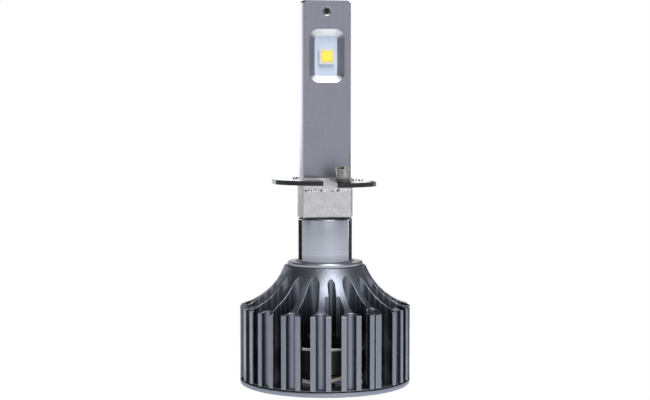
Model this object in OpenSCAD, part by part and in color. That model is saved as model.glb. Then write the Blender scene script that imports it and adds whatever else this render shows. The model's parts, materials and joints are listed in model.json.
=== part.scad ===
// LED headlight bulb with an H1 collar: a two-sided emitter mast on a finned, fan-cooled heat sink.
// Millimetres. Z runs up the bulb's axis from the underside of the base cover; -Y is the front.
// Azimuths are in degrees from the front (-Y) towards +X.

/* [Heat sink] */
// Outer radius over the fin heads
sink_r = 19; // [18.6:0.1:19.4]
// Height of the corner where the fin heads end and the bell begins
corner_z = 17.2; // [16.5:0.1:18]
// Radius of the bell's neck, under the stem's flange
neck_r = 9.1; // [8.8:0.1:9.6]
// Height of the top of the heat sink
neck_z = 26.2; // [25.5:0.1:27]
// Radius of the hollow turned bell curve
bell_r = 15.3; // [14:0.1:18]
// Number of fins, a multiple of the number of screw ports
fin_count = 18; // [18:3:18]
// Azimuth of the first fin
fin_start = -12.1; // [-20:0.1:20]
// Thickness of a fin's web
web_t = 1.36; // [1.2:0.02:1.6]
// Width of a fin's head at the rim
head_w = 4.4; // [4.2:0.1:4.6]
// Width of the groove down each head
groove_w = 2.2; // [1.8:0.1:2.4]
// Depth of that groove
groove_deep = 1.6; // [1.2:0.1:1.8]
// Radius of the solid core, at the slots' round inner ends
core_r = 9.8; // [9.6:0.1:10.4]
// Radius at the inner end of the narrow slots at the front and the back
narrow_end_r = 10.1; // [9.8:0.1:10.6]
// Width of the narrow inner part of those two slots
slot_w = 1.65; // [1.3:0.05:1.8]
// Radius at which they step out to their full width
slot_step_r = 12.8; // [12.4:0.1:13.2]
// Height of the fan cavity's ceiling
cavity_top = 12.1; // [11.9:0.1:12.4]
// Radius of the fan cavity
cavity_r = 14.2; // [14.1:0.1:14.4]

/* [Base cover] */
// Thickness of the cover's plate
cover_t = 1.2; // [1.1:0.1:1.5]
// Shadow gap between the cover's rim and the fins
cover_gap = 0.15; // [0.1:0.05:0.3]
// Number of screw ports and cover screws
port_count = 3; // [3:3:3]
// Radius of a screw port
port_r = 0.82; // [0.75:0.01:0.9]
// Radius of the cable outlet through the grommet
outlet_r = 1.3; // [1:0.1:1.4]

/* [Fan] */
// Outer radius of the fan's frame
frame_r = 13.7; // [13.4:0.1:13.8]
// Height of the frame's underside
frame_z = 4; // [3.6:0.1:4.2]
// Height of the frame's ring
frame_h = 5.5; // [5.2:0.1:5.6]
// Number of rotor blades
blade_count = 9; // [5:1:11]
// Radius of the fan's shaft
shaft_r = 0.75; // [0.6:0.05:0.8]

/* [Stem] */
// Radius of the stem's flange
stem_flange_r = 8.4; // [8:0.05:8.8]
// Radius of the stem
stem_r = 6; // [5.9:0.05:6.1]
// Height of the shoulder on top of the stem
shoulder_z = 36.85; // [36:0.05:37.5]

/* [Mast] */
// Height of the top of the mast, which is the bulb's full height
mast_top = 84.8; // [84:0.2:87]
// Radius of the round bar that the mast is milled from
mast_r = 5.7; // [5.6:0.01:5.8]
// Thickness across the mast's two flats
mast_t = 5.3; // [5.2:0.02:5.6]
// Height of the middle of the emitter windows
window_z = 72.7; // [72:0.1:74]
// Window size at the mast's face, across
window_w = 7.9; // [7.5:0.1:8.3]
// Window size at the mast's face, up and down
window_h = 11.8; // [11.4:0.1:12.8]
// Depth of the window's floor below the face
window_deep = 1.4; // [1.2:0.05:1.5]
// Side of the square emitter package
package_w = 3.4; // [3:0.1:3.6]
// Side of the phosphor square in the package
phosphor_w = 2.55; // [2.2:0.05:2.7]

/* [Collar] */
// Radius of the mounting flange
flange_r = 12; // [11.5:0.1:12.5]
// Thickness of the mounting flange
flange_t = 1; // [0.9:0.05:1.2]
// Height of the flange's front face, the seat in the lamp
flange_top = 45.5; // [45:0.1:46]
// Drop of the flange's right half, where the sheet is joggled
joggle = 0.45; // [0.2:0.05:0.5]
// Thickness of the sleeve's flat walls
sleeve_t = 0.5; // [0.4:0.05:0.6]
// Height of the curled locating lug above the flange
lug_h = 3.9; // [3:0.1:4.2]

/* [Hidden] */
$fn = 96;
eps = 0.01;
// Running and seating clearance, on the radius
fit = 0.03;

// Heat sink
fin_pitch = 360 / fin_count;
fins_per_port = fin_count / port_count;
// Index of the first fin that carries a screw port
first_port_fin = 2;
sink_z = cover_t + cover_gap;
web_half = web_t / 2;
head_half = head_w / 2;
// The round inner end of a slot touches both of its webs: its centre, radius and the touching points' distance out
root_c = (core_r - web_half) / (1 - sin(fin_pitch / 2));
root_r = root_c - core_r;
root_x = root_c * cos(fin_pitch / 2);
root_steps = 10;
flare_start = 16;
flare_end = sink_r - 0.45;
flare_rise = head_half - web_half;
flare_run = flare_end - flare_start;
flare_r = (flare_run * flare_run + flare_rise * flare_rise) / (2 * flare_rise);
flare_sweep = asin(flare_run / flare_r);
flare_steps = 8;
beyond = sink_r + 0.6;
groove_r = groove_w / 2;
groove_at = sink_r - groove_deep + groove_r;
// Centre of the bell's arc, through the corner and the neck
bell_dx = sink_r - neck_r;
bell_dz = neck_z - corner_z;
bell_chord = sqrt(bell_dx * bell_dx + bell_dz * bell_dz);
bell_back = sqrt(bell_r * bell_r - bell_chord * bell_chord / 4);
bell_cx = (sink_r + neck_r) / 2 + bell_back * bell_dz / bell_chord;
bell_cz = (corner_z + neck_z) / 2 + bell_back * bell_dx / bell_chord;
// Screw port, in its fin's own frame: x outward, y towards higher azimuth
port_x = sink_r - 2.05;
port_y = -0.2;
port_wall_r = 1.65;
port_wall_x = sink_r - 1.9;
port_right = 0.7;
lip_left = 2.27;
lip_back = sink_r - 1.25;
barb_x = flare_start + 0.5;
barb_y = 1.44;
seam_y = -1;
seam_w = 0.45;
seam_deep = 0.55;

// Driver pocket in the underside of the core
pocket_r = 8.7;
ledge_r = 8;
board_t = 0.8;
ledge_z = cavity_top + 2.3;
pocket_top = cavity_top + 5.5;
driver_r = pocket_r - 0.15;
driver_z = ledge_z - board_t;
board_hole_r = 1.2;
inductor_at = [3.2, -3.6];
inductor_r = 2.2;
inductor_h = 1.8;
inductor_flange_t = 0.35;
capacitors_at = [[-3.4, -4.4], [-5.6, -1.8]];
capacitor_r = 1.2;
capacitor_h = 1.6;
// Chips: corner X, corner Y, width, length, height
chips = [[-3.2, 1.2, 3.1, 2.6, 0.9], [2.3, 1.4, 2.4, 2, 1], [-0.8, -6.6, 1.6, 0.9, 0.6]];
terminal_at = 6.1;
terminal_deep = 2.2;
terminal_w = 3.4;
terminal_h = 1.7;
terminal_hole_r = 0.5;

// Base cover
rebate_r = sink_r - 0.7;
rim_round = 0.4;
grille_rings = [[6.6, 8.4], [9.1, 10.9], [11.6, 13.1]];
grille_ribs = 6;
rib_w = 1.4;
screw_head_r = 1.75;
screw_head_h = 0.95;
screw_len = 7;
screw_point = 0.6;
cross_len = 1.9;
cross_w = 0.4;
cross_deep = 0.6;
grommet_az = fin_start + 9.5 * fin_pitch;
grommet_at = 13.6;
grommet_neck_r = 2;
grommet_lip_r = 2.5;
grommet_lip_t = 0.5;
grommet_top = sink_z + 0.95;
chase_r = 2.7;

// Fan
frame_top = frame_z + frame_h;
frame_wall = 1.1;
frame_hub_r = 6;
frame_hub_t = 0.7;
spoke_w = 1.3;
spoke_count = 4;
foot_count = 3;
foot_w = 2.4;
foot_inset = 0.12;
hub_top = frame_z + frame_hub_t;
tube_r = 2;
bearing_r = 1.43;
bearing_z = frame_z + 0.9;
bearing_h = 3;
tube_floor = 0.2;
rotor_z = frame_z + 1.6;
rotor_top = frame_top - 0.3;
rotor_r = 6.2;
rotor_wall = 0.8;
rotor_roof = 0.7;
blade_tip_r = frame_r - frame_wall - 0.4;
blade_t = 0.7;
blade_run = 8;
blade_tilt = 38;
boss_r = 1.3;
boss_h = 0.45;
yoke_t = 0.45;
yoke_out = rotor_r - rotor_wall;
magnet_out = yoke_out - yoke_t;
magnet_t = 0.65;
stator_out = magnet_out - magnet_t - 0.25;
stator_z = frame_z + 1.7;
stator_h = 1.8;
stator_arm_w = 1;
stator_poles = 4;
shoe_t = 0.5;
shoe_gap = 1;
coil_w = 1.8;
coil_over = 0.3;
coil_in = tube_r + 0.6;
coil_out = stator_out - shoe_t - 0.08;
pcb_z = hub_top + 0.1;
pcb_t = 0.4;
pcb_r = 4.6;
clip_z = frame_z + 0.5;
clip_t = 0.25;
groove_shaft_r = shaft_r - 0.2;
lead_r = 0.3;
lead_apart = 1.6;
lead_z = hub_top + lead_r + 0.05;
over_z = frame_top + 0.9;
shaft_z = frame_z + 0.3;

// Stem
stem_flange_t = 1;
stem_flange_top = neck_z + stem_flange_t;
edge_round = 0.35;
spigot_r = 4;
spigot_z = cavity_top + 4.1;
spigot_bore_r = 2;
nut_flats = 11;
nut_z = pocket_top - 1.5;
socket_z = stem_flange_top + 0.3;

// Mast
half_t = mast_t / 2;
tail_w = 8;
tail_t = 4;
mast_chamfer = 0.5;
plate_w = 9.2;
plate_t = 1;
plate_z = shoulder_z + 2 * eps;
plate_top = mast_top - 4.5;
floor_w = window_w - 2.9;
floor_h = window_h - 3;
mouth_corner = 2.1;
floor_corner = 0.8;
floor_y = half_t - window_deep;
led_board_w = 6.4;
led_board_h = 13;
led_tail_w = 3.1;
led_tail_z = 40;
package_x = 0.15;
package_z = window_z - 0.1;
package_t = 0.6;
phosphor_t = 0.36;
phosphor_proud = 0.03;
screw_z = mast_top - 2.3;
mast_screw_r = 0.6;
mast_screw_head_r = 1;
mast_screw_head_h = 0.42;
mast_screw_sink = 0.2;
mast_screw_socket_r = 0.45;
mast_screw_socket_deep = 0.4;
led_lead_x = 0.7;
led_lead_y = 0.95;

// Collar
sleeve_z = shoulder_z + 0.3;
sleeve_top = flange_top + 0.25;
sleeve_side_t = 0.39;
sleeve_in_r = mast_r + fit + 0.01;
sleeve_out_r = sleeve_in_r + sleeve_side_t;
sleeve_in_half = half_t + 0.05;
sleeve_out_half = sleeve_in_half + sleeve_t;
sleeve_front_half = 5.6;
sleeve_corner = 0.45;
notch_az = -3.8;
notch_w = 3;
joggle_x = 0.5;
right_chord = 10.4;
left_chord = 11.5;
lug_az = 13;
lug_r = 1.55;
lug_at = flange_r - lug_r - 0.05;
lug_t = 0.42;
lug_lean = 4;
lug_slit_w = 0.5;
lug_drop = 0.55;
lug_drop_to = -0.1;
bead_r = 0.55;
bead_sink = 0.2;
beads_at = [[-5.4, 4.3], [-6.4, 2.9], [7, 1.6], [8.2, 0.6]];

// ---------------------------------------------------------------- helpers

// Puts children at a radius on an azimuth, with their +X pointing outwards
module at_azimuth(az, r = 0)
  rotate([0, 0, az - 90])
    translate([r, 0, 0])
      children();

module ring(r_out, r_in, h, z = 0)
  translate([0, 0, z])
    difference() {
      cylinder(r = r_out, h = h);
      translate([0, 0, -eps])
        cylinder(r = r_in, h = h + 2 * eps);
    }

// A disc whose rim is rounded on both edges
module rounded_disc(r, h, round)
  rotate_extrude() {
    square([r - round, h]);
    translate([0, round])
      square([r, h - 2 * round]);
    for (z = [round, h - round])
      translate([r - round, z])
        circle(r = round);
  }

module centred_box(w, d, h, z = 0)
  translate([-w / 2, -d / 2, z])
    cube([w, d, h]);

module rounded_rect(w, h, r) {
  square([w - 2 * r, h], center = true);
  square([w, h - 2 * r], center = true);
  for (x = [-1, 1], y = [-1, 1])
    translate([x * (w / 2 - r), y * (h / 2 - r)])
      circle(r = r);
}

// A wire through a list of points, with a slight swelling at each bend
module wire(points, r) {
  for (i = [0 : len(points) - 2]) {
    run = points[i + 1] - points[i];
    length = norm(run);
    translate(points[i])
      rotate([0, acos(run[2] / length), atan2(run[1], run[0])])
        cylinder(r = r, h = length, $fn = 24);
  }
  for (i = [1 : len(points) - 2])
    translate(points[i])
      sphere(r = 1.15 * r, $fn = 24);
}

// ---------------------------------------------------------------- heat sink

function has_port(fin) = (fin % fins_per_port) == first_port_fin;

// One side of a fin, from its root outwards: [distance out, distance from the fin's middle plane]
function flare_points() = [
  for (i = [0 : flare_steps])
    let (a = flare_sweep * i / flare_steps)
      [flare_start + flare_r * sin(a), web_half + flare_r * (1 - cos(a))]
];

function plain_side() = concat([[root_x, web_half]], flare_points(), [[beyond, head_half]]);

// The side of a port fin that swells around the port
function swelled_side() =
  let (
    rise_in = acos((web_half - port_y / 2) / port_wall_r),
    rise_out = acos((port_right - port_y / 2) / port_wall_r)
  ) concat(
    [[root_x, web_half]],
    [
      for (i = [0 : flare_steps])
        let (a = -rise_in + (rise_in + rise_out) * i / flare_steps)
          [port_wall_x + port_wall_r * sin(a), port_y / 2 + port_wall_r * cos(a)]
    ],
    [[beyond, port_right]]
  );

// The side of a port fin that opens into the port
function open_side() = [
  [root_x, web_half],
  [flare_start - 0.1, web_half],
  [barb_x, barb_y],
  [port_x - 0.4, 0.5],
  [port_x + 0.6, 0.5],
  [lip_back, lip_left],
  [beyond, lip_left]
];

// A side point of the fin at angle a, turned into the slot's frame; side is +1 above it and -1 below
function turned(p, a, side) = [
  p[0] * cos(a) + side * p[1] * sin(a),
  p[0] * sin(a) - side * p[1] * cos(a)
];

// The slots at the front and the back have a narrow inner part between thick fin roots
function is_narrow(fin) = (fin % (fin_count / 2)) == 0;

// The round inner end of a slot, from its upper web to its lower one, without its two end points
function root_points() =
  let (first = 90 + fin_pitch / 2, sweep = 180 - fin_pitch)
    [
      for (i = [1 : root_steps - 1])
        let (a = first + sweep * i / root_steps)
          [root_c + root_r * cos(a), root_r * sin(a)]
    ];

// The slot that follows a fin
module slot_outline(fin) {
  half = fin_pitch / 2;
  lower = has_port(fin) ? swelled_side() : plain_side();
  upper = has_port((fin + 1) % fin_count) ? open_side() : plain_side();
  last = len(upper) - 1;
  polygon(concat(
    [for (p = lower) turned(p, -half, -1)],
    [for (i = [last : -1 : 0]) turned(upper[i], half, 1)],
    root_points()
  ));
}

module slots() {
  for (fin = [0 : fin_count - 1])
    at_azimuth(fin_start + (fin + 0.5) * fin_pitch)
      if (is_narrow(fin)) {
        difference() {
          slot_outline(fin);
          circle(r = slot_step_r);
        }
        translate([narrow_end_r + slot_w / 2, 0])
          circle(r = slot_w / 2);
        translate([narrow_end_r + slot_w / 2, -slot_w / 2])
          square([slot_step_r - narrow_end_r, slot_w]);
      } else {
        slot_outline(fin);
      }
}

module head_grooves() {
  for (fin = [0 : fin_count - 1])
    at_azimuth(fin_start + fin * fin_pitch)
      if (has_port(fin)) {
        translate([sink_r - seam_deep, seam_y - seam_w / 2])
          square([2 * seam_deep, seam_w]);
      } else {
        translate([groove_at, 0])
          circle(r = groove_r);
        translate([groove_at, -groove_r])
          square([beyond - groove_at, groove_w]);
      }
}

module at_ports() {
  for (i = [0 : port_count - 1])
    at_azimuth(fin_start + (first_port_fin + i * fins_per_port) * fin_pitch)
      translate([port_x, port_y, 0])
        children();
}

module bell()
  rotate_extrude()
    difference() {
      translate([0, sink_z])
        square([sink_r, neck_z - sink_z]);
      translate([bell_cx, bell_cz])
        circle(r = bell_r);
    }

module heat_sink() {
  color("dimgray")
    difference() {
      bell();
      linear_extrude(height = neck_z + 1)
        slots();
      linear_extrude(height = neck_z + 1)
        head_grooves();
      at_ports()
        cylinder(r = port_r, h = neck_z);
      linear_extrude(height = cavity_top) {
        circle(r = cavity_r);
        at_azimuth(grommet_az, grommet_at)
          circle(r = chase_r);
      }
      cylinder(r = pocket_r, h = ledge_z);
      cylinder(r = ledge_r, h = pocket_top);
      cylinder(r = spigot_r + fit, h = neck_z + 1);
    }
}

// ---------------------------------------------------------------- base cover

module base_cover() {
  color("slategray")
    difference() {
      union() {
        rounded_disc(sink_r, cover_t, rim_round);
        cylinder(r = rebate_r, h = sink_z);
      }
      difference() {
        for (r = grille_rings)
          ring(r[1], r[0], sink_z + 2 * eps, -eps);
        for (i = [0 : grille_ribs - 1])
          at_azimuth(grommet_az + i * 360 / grille_ribs)
            translate([0, -rib_w / 2, -1])
              cube([sink_r, rib_w, sink_z + 2]);
        at_azimuth(grommet_az, grommet_at)
          translate([0, 0, -1])
            cylinder(r = grommet_lip_r + 0.8, h = sink_z + 2);
      }
      at_ports()
        translate([0, 0, -eps]) {
          cylinder(r = port_r + 0.1, h = sink_z + 1);
          cylinder(r1 = screw_head_r, r2 = port_r + 0.1, h = screw_head_h);
        }
      at_azimuth(grommet_az, grommet_at)
        translate([0, 0, -eps]) {
          cylinder(r = grommet_neck_r, h = sink_z + 1);
          cylinder(r = grommet_lip_r, h = grommet_lip_t + eps);
        }
    }
}

module cover_screws() {
  color("silver")
    at_ports()
      difference() {
        union() {
          cylinder(r1 = screw_head_r - 0.08, r2 = port_r - 0.02, h = screw_head_h - 0.06);
          cylinder(r = port_r - 0.02, h = screw_len - screw_point);
          translate([0, 0, screw_len - screw_point])
            cylinder(r1 = port_r - 0.02, r2 = 0.25, h = screw_point);
        }
        for (turn = [0, 90])
          rotate([0, 0, turn])
            centred_box(cross_len, cross_w, cross_deep, -eps);
      }
}

module cable_grommet() {
  color("black")
    at_azimuth(grommet_az, grommet_at)
      difference() {
        union() {
          cylinder(r = grommet_lip_r, h = grommet_lip_t);
          cylinder(r = grommet_neck_r, h = grommet_top);
          translate([0, 0, sink_z])
            cylinder(r = grommet_lip_r, h = grommet_top - sink_z);
        }
        translate([0, 0, -1])
          cylinder(r = outlet_r, h = grommet_top + 2);
      }
}

// ---------------------------------------------------------------- fan

module fan_frame() {
  foot_az = fin_start + fin_pitch * 3;
  color("#202020")
    difference() {
      union() {
        ring(frame_r, frame_r - frame_wall, frame_h, frame_z);
        translate([0, 0, frame_z])
          cylinder(r = frame_hub_r, h = frame_hub_t);
        for (i = [0 : spoke_count - 1])
          at_azimuth(grommet_az + 45 + i * 360 / spoke_count)
            translate([frame_hub_r - 1, -spoke_w / 2, frame_z])
              cube([frame_r - frame_hub_r - frame_wall + 1.2, spoke_w, frame_hub_t]);
        for (i = [0 : foot_count - 1])
          at_azimuth(foot_az + i * 360 / foot_count)
            intersection() {
              ring(frame_r - foot_inset, frame_r - frame_wall + foot_inset, cavity_top - sink_z, sink_z);
              translate([0, -foot_w / 2, 0])
                cube([sink_r, foot_w, sink_r]);
            }
        translate([0, 0, frame_z])
          cylinder(r = tube_r, h = bearing_z + bearing_h - frame_z + 0.3);
      }
      translate([0, 0, frame_z + tube_floor])
        cylinder(r = bearing_r, h = frame_h);
      at_azimuth(grommet_az, grommet_at)
        cylinder(r = chase_r, h = cavity_top);
    }
}

module fan_bearing()
  color("goldenrod")
    ring(bearing_r, shaft_r + fit, bearing_h, bearing_z);

module fan_circuit_board()
  color("darkgreen")
    ring(pcb_r, tube_r + 0.05, pcb_t, pcb_z);

module stator_arms(extra = 0)
  for (i = [0 : stator_poles - 1])
    rotate([0, 0, i * 360 / stator_poles])
      translate([tube_r + 0.2, -stator_arm_w / 2 - extra, stator_z - extra])
        cube([stator_out - tube_r - 0.4, stator_arm_w + 2 * extra, stator_h + 2 * extra]);

module stator_core() {
  color("lightsteelblue") {
    ring(tube_r + 0.55, tube_r + 0.02, stator_h, stator_z);
    stator_arms();
    difference() {
      ring(stator_out, stator_out - shoe_t, stator_h, stator_z);
      for (i = [0 : stator_poles - 1])
        rotate([0, 0, 45 + i * 360 / stator_poles])
          translate([0, -shoe_gap / 2, stator_z - 1])
            cube([stator_out + 1, shoe_gap, stator_h + 2]);
    }
  }
}

module stator_coils()
  color("chocolate")
    difference() {
      for (i = [0 : stator_poles - 1])
        rotate([0, 0, i * 360 / stator_poles])
          translate([coil_in, -coil_w / 2, stator_z - coil_over])
            cube([coil_out - coil_in, coil_w, stator_h + 2 * coil_over]);
      stator_arms(eps);
    }

module fan_leads()
  color("firebrick")
    for (side = [-1, 1])
      at_azimuth(grommet_az)
        wire([
          [pcb_r + 0.05, side * 0.5, lead_z],
          [frame_r - 1.2, side * 0.9, lead_z],
          [frame_r - 0.2, side * lead_apart, lead_z + 1],
          [frame_r - 0.2, side * lead_apart, over_z],
          [pocket_r - 2, side * lead_apart, over_z + 0.6],
          [pocket_r - 2.4, side * lead_apart, driver_z]
        ], lead_r);

module fan_rotor() {
  color("#2b2b2b") {
    difference() {
      translate([0, 0, rotor_z])
        cylinder(r = rotor_r, h = rotor_top - rotor_z);
      translate([0, 0, rotor_z - 1])
        cylinder(r = rotor_r - rotor_wall, h = rotor_top - rotor_roof - rotor_z + 1);
      cylinder(r = shaft_r, h = rotor_top - 0.25);
    }
    ring(boss_r, shaft_r, boss_h, rotor_top - rotor_roof - boss_h + eps);
    intersection() {
      ring(blade_tip_r, rotor_r - 0.3, rotor_top - rotor_z - 0.2, rotor_z + 0.1);
      for (i = [0 : blade_count - 1])
        rotate([0, 0, i * 360 / blade_count])
          translate([0, 0, (rotor_z + rotor_top) / 2])
            rotate([blade_tilt, 0, 0])
              translate([rotor_r - 1, -blade_run / 2, -blade_t / 2])
                cube([frame_r, blade_run, blade_t]);
    }
  }
}

module rotor_yoke()
  color("silver")
    ring(yoke_out, magnet_out, rotor_top - rotor_roof - rotor_z - 0.3, rotor_z + 0.3);

module rotor_magnet()
  color("#3a3a3c")
    ring(magnet_out, magnet_out - magnet_t, rotor_top - rotor_roof - rotor_z - 0.5, rotor_z + 0.5);

module fan_shaft()
  color("lightgray")
    difference() {
      translate([0, 0, shaft_z])
        cylinder(r = shaft_r, h = rotor_top - 0.25 - shaft_z);
      ring(shaft_r + 1, groove_shaft_r, clip_t + 0.04, clip_z - 0.02);
    }

module shaft_clip()
  color("whitesmoke")
    ring(bearing_r - 0.25, groove_shaft_r + 0.01, clip_t, clip_z);

// ---------------------------------------------------------------- driver

module driver_board() {
  color("seagreen")
    translate([0, 0, driver_z])
      difference() {
        cylinder(r = driver_r, h = board_t);
        translate([0, 0, -1])
          cylinder(r = board_hole_r, h = board_t + 2);
      }
}

module driver_inductor()
  color("#4a4a4a")
    translate([inductor_at[0], inductor_at[1], driver_z - inductor_h]) {
      cylinder(r = inductor_r, h = inductor_flange_t);
      cylinder(r = inductor_r - 0.5, h = inductor_h);
      translate([0, 0, inductor_h - inductor_flange_t])
        cylinder(r = inductor_r, h = inductor_flange_t);
    }

module driver_capacitors()
  color("tan")
    for (p = capacitors_at)
      translate([p[0], p[1], driver_z - capacitor_h])
        rounded_disc(capacitor_r, capacitor_h, 0.25);

module driver_chips()
  color("#1c1c1e")
    for (c = chips)
      translate([c[0], c[1], driver_z - c[4]])
        cube([c[2], c[3], c[4]]);

module power_terminal()
  color("ivory")
    at_azimuth(grommet_az + 38, terminal_at)
      difference() {
        centred_box(terminal_deep, terminal_w, terminal_h, driver_z - terminal_h);
        for (y = [-terminal_w / 4, terminal_w / 4])
          translate([-0.2, y, driver_z - terminal_h / 2])
            rotate([0, 90, 0])
              cylinder(r = terminal_hole_r, h = terminal_deep + 1);
      }

// ---------------------------------------------------------------- stem

module stem() {
  color("silver")
    difference() {
      union() {
        translate([0, 0, spigot_z])
          cylinder(r = spigot_r, h = neck_z - spigot_z + 0.5);
        translate([0, 0, neck_z])
          rounded_disc(stem_flange_r, stem_flange_t, edge_round);
        translate([0, 0, stem_flange_top - 1 + eps])
          rounded_disc(stem_r, shoulder_z - stem_flange_top + 1 - eps, edge_round);
      }
      translate([0, 0, spigot_z - 1])
        cylinder(r = spigot_bore_r, h = socket_z - spigot_z + 2);
      centred_box(tail_w + 2 * fit, tail_t + 2 * fit, mast_top, socket_z);
    }
}

module stem_lock_nut() {
  color("gainsboro")
    difference() {
      translate([0, 0, nut_z])
        cylinder(r = nut_flats / sqrt(3), h = pocket_top - nut_z, $fn = 6);
      cylinder(r = spigot_r + fit, h = mast_top);
    }
}

// ---------------------------------------------------------------- mast

module mast_bar() {
  intersection() {
    union() {
      translate([0, 0, shoulder_z])
        cylinder(r = mast_r, h = mast_top - mast_chamfer - shoulder_z);
      translate([0, 0, mast_top - mast_chamfer])
        cylinder(r1 = mast_r, r2 = mast_r - mast_chamfer, h = mast_chamfer);
    }
    centred_box(3 * mast_r, mast_t, mast_top);
  }
  centred_box(tail_w, tail_t, shoulder_z - socket_z, socket_z + eps);
}

module emitter_window()
  hull() {
    translate([0, -half_t + eps, window_z])
      rotate([90, 0, 0])
        linear_extrude(height = 2 * eps)
          rounded_rect(window_w, window_h, mouth_corner, $fn = 32);
    translate([0, -floor_y + eps, window_z])
      rotate([90, 0, 0])
        linear_extrude(height = 2 * eps)
          rounded_rect(floor_w, floor_h, floor_corner, $fn = 32);
  }

// The half of the mast in front of the middle plane
module mast_shell(screw_hole_r) {
  cut = 2 * mast_r;
  difference() {
    mast_bar();
    translate([-cut, 0, 0])
      cube([2 * cut, cut, mast_top + 1]);
    centred_box(plate_w + 2 * fit, plate_t + 2 * fit, plate_top + fit);
    centred_box(led_tail_w + 2 * fit, 2 * floor_y, window_z);
    centred_box(led_board_w + 2 * fit, 2 * floor_y, led_board_h + 2 * fit,
                window_z - led_board_h / 2 - fit);
    emitter_window();
    translate([0, 1, screw_z])
      rotate([90, 0, 0])
        cylinder(r = screw_hole_r, h = cut);
  }
}

module front_mast_shell() {
  color("silver")
    difference() {
      mast_shell(mast_screw_r + 0.05);
      translate([0, -half_t + mast_screw_head_h, screw_z])
        rotate([90, 0, 0])
          cylinder(r1 = mast_screw_r + 0.05, r2 = mast_screw_head_r + 0.04, h = mast_screw_head_h + eps);
    }
}

module rear_mast_shell()
  color("silver")
    rotate([0, 0, 180])
      mast_shell(mast_screw_r + 0.01);

module copper_core()
  color("peru") {
    centred_box(tail_w, plate_t, shoulder_z - socket_z, socket_z + 2 * eps);
    centred_box(plate_w, plate_t, plate_top - plate_z, plate_z);
  }

module mast_screw()
  color("lightgray")
    translate([0, -half_t + mast_screw_sink, screw_z])
      rotate([-90, 0, 0])
        difference() {
          union() {
            cylinder(r1 = mast_screw_head_r - 0.18, r2 = mast_screw_r, h = mast_screw_head_h - mast_screw_sink);
            cylinder(r = mast_screw_r, h = mast_t - 0.8 - mast_screw_sink);
          }
          translate([0, 0, -eps])
            cylinder(r = mast_screw_socket_r, h = mast_screw_socket_deep, $fn = 6);
        }

// ---------------------------------------------------------------- emitters

module led_board() {
  color("whitesmoke")
    difference() {
      union() {
        centred_box(led_board_w, 2 * floor_y, led_board_h, window_z - led_board_h / 2);
        centred_box(led_tail_w, 2 * floor_y, window_z - led_tail_z, led_tail_z);
      }
      translate([-mast_r, -plate_t / 2 - fit, 0])
        cube([2 * mast_r, mast_r, mast_top]);
    }
}

module led_package() {
  color("white")
    translate([package_x, -floor_y, package_z])
      rotate([90, 0, 0])
        difference() {
          linear_extrude(height = package_t)
            rounded_rect(package_w, package_w, 0.15);
          translate([0, 0, package_t - phosphor_t])
            linear_extrude(height = 1)
              square(phosphor_w, center = true);
        }
}

module phosphor() {
  color("khaki")
    translate([package_x, -floor_y - package_t + phosphor_t, package_z])
      rotate([90, 0, 0])
        linear_extrude(height = phosphor_t + phosphor_proud)
          square(phosphor_w, center = true);
}

module front_led_board()
  led_board();

module rear_led_board()
  rotate([0, 0, 180])
    led_board();

module front_led_package()
  led_package();

module rear_led_package()
  rotate([0, 0, 180])
    led_package();

module front_phosphor()
  phosphor();

module rear_phosphor()
  rotate([0, 0, 180])
    phosphor();

module led_leads()
  color("crimson")
    for (turn = [0, 180])
      rotate([0, 0, turn])
        for (x = [-led_lead_x, led_lead_x])
          wire([
            [x, -led_lead_y, ledge_z],
            [x, -led_lead_y, led_tail_z - eps]
          ], lead_r);

// ---------------------------------------------------------------- collar

module sleeve_outline() {
  intersection() {
    circle(r = sleeve_out_r);
    square([4 * mast_r, 2 * sleeve_out_half], center = true);
  }
  rounded_rect(2 * sleeve_front_half, 2 * sleeve_out_half, sleeve_corner);
}

module collar_sleeve() {
  color("lightgray")
    translate([0, 0, sleeve_z])
      difference() {
        linear_extrude(height = sleeve_top - sleeve_z)
          sleeve_outline();
        translate([0, 0, -1])
          linear_extrude(height = sleeve_top)
            intersection() {
              circle(r = sleeve_in_r);
              square([4 * mast_r, 2 * sleeve_in_half], center = true);
            }
      }
}

module curled_lug()
  at_azimuth(lug_az, lug_at)
    rotate([lug_lean, 0, 0])
      difference() {
        cylinder(r = lug_r, h = lug_h);
        translate([0, 0, -1])
          cylinder(r = lug_r - lug_t, h = lug_h + 2);
        rotate([0, 0, 75])
          translate([-2 * lug_r, -lug_slit_w / 2, -1])
            cube([2 * lug_r, lug_slit_w, lug_h + 2]);
        // The outer wall's low corner, which shows the hollow
        translate([0, -2 * lug_r, lug_h - lug_drop])
          cube([2 * lug_r, 2 * lug_r + lug_drop_to, lug_h]);
        rotate([0, -6, 0])
          translate([-2 * lug_r, -2 * lug_r, lug_h - 0.15])
            cube(4 * lug_r);
      }

module mounting_flange() {
  cut = 2 * flange_r;
  color("gainsboro")
    difference() {
      union() {
        difference() {
          translate([0, 0, flange_top - flange_t])
            cylinder(r = flange_r, h = flange_t);
          translate([joggle_x, -flange_r, 0])
            cube([cut, cut, cut * 2]);
          translate([-left_chord - cut, -flange_r, 0])
            cube([cut, cut, cut * 2]);
        }
        intersection() {
          translate([0, 0, flange_top - flange_t - joggle])
            cylinder(r = flange_r, h = flange_t);
          translate([joggle_x - 0.4, -flange_r, 0])
            cube([right_chord - joggle_x + 0.4, cut, cut * 2]);
        }
        translate([0, 0, flange_top - joggle - 0.3])
          curled_lug();
        for (p = beads_at)
          translate([p[0], p[1], flange_top - (p[0] > 0 ? joggle : 0) - bead_sink])
            rounded_disc(bead_r, 2 * bead_sink + 0.1, bead_sink);
      }
      linear_extrude(height = mast_top)
        sleeve_hole();
      at_azimuth(notch_az, sleeve_out_half)
        translate([0, -notch_w / 2, 0])
          cube([flange_r, notch_w, flange_top + eps]);
    }
}

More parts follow.
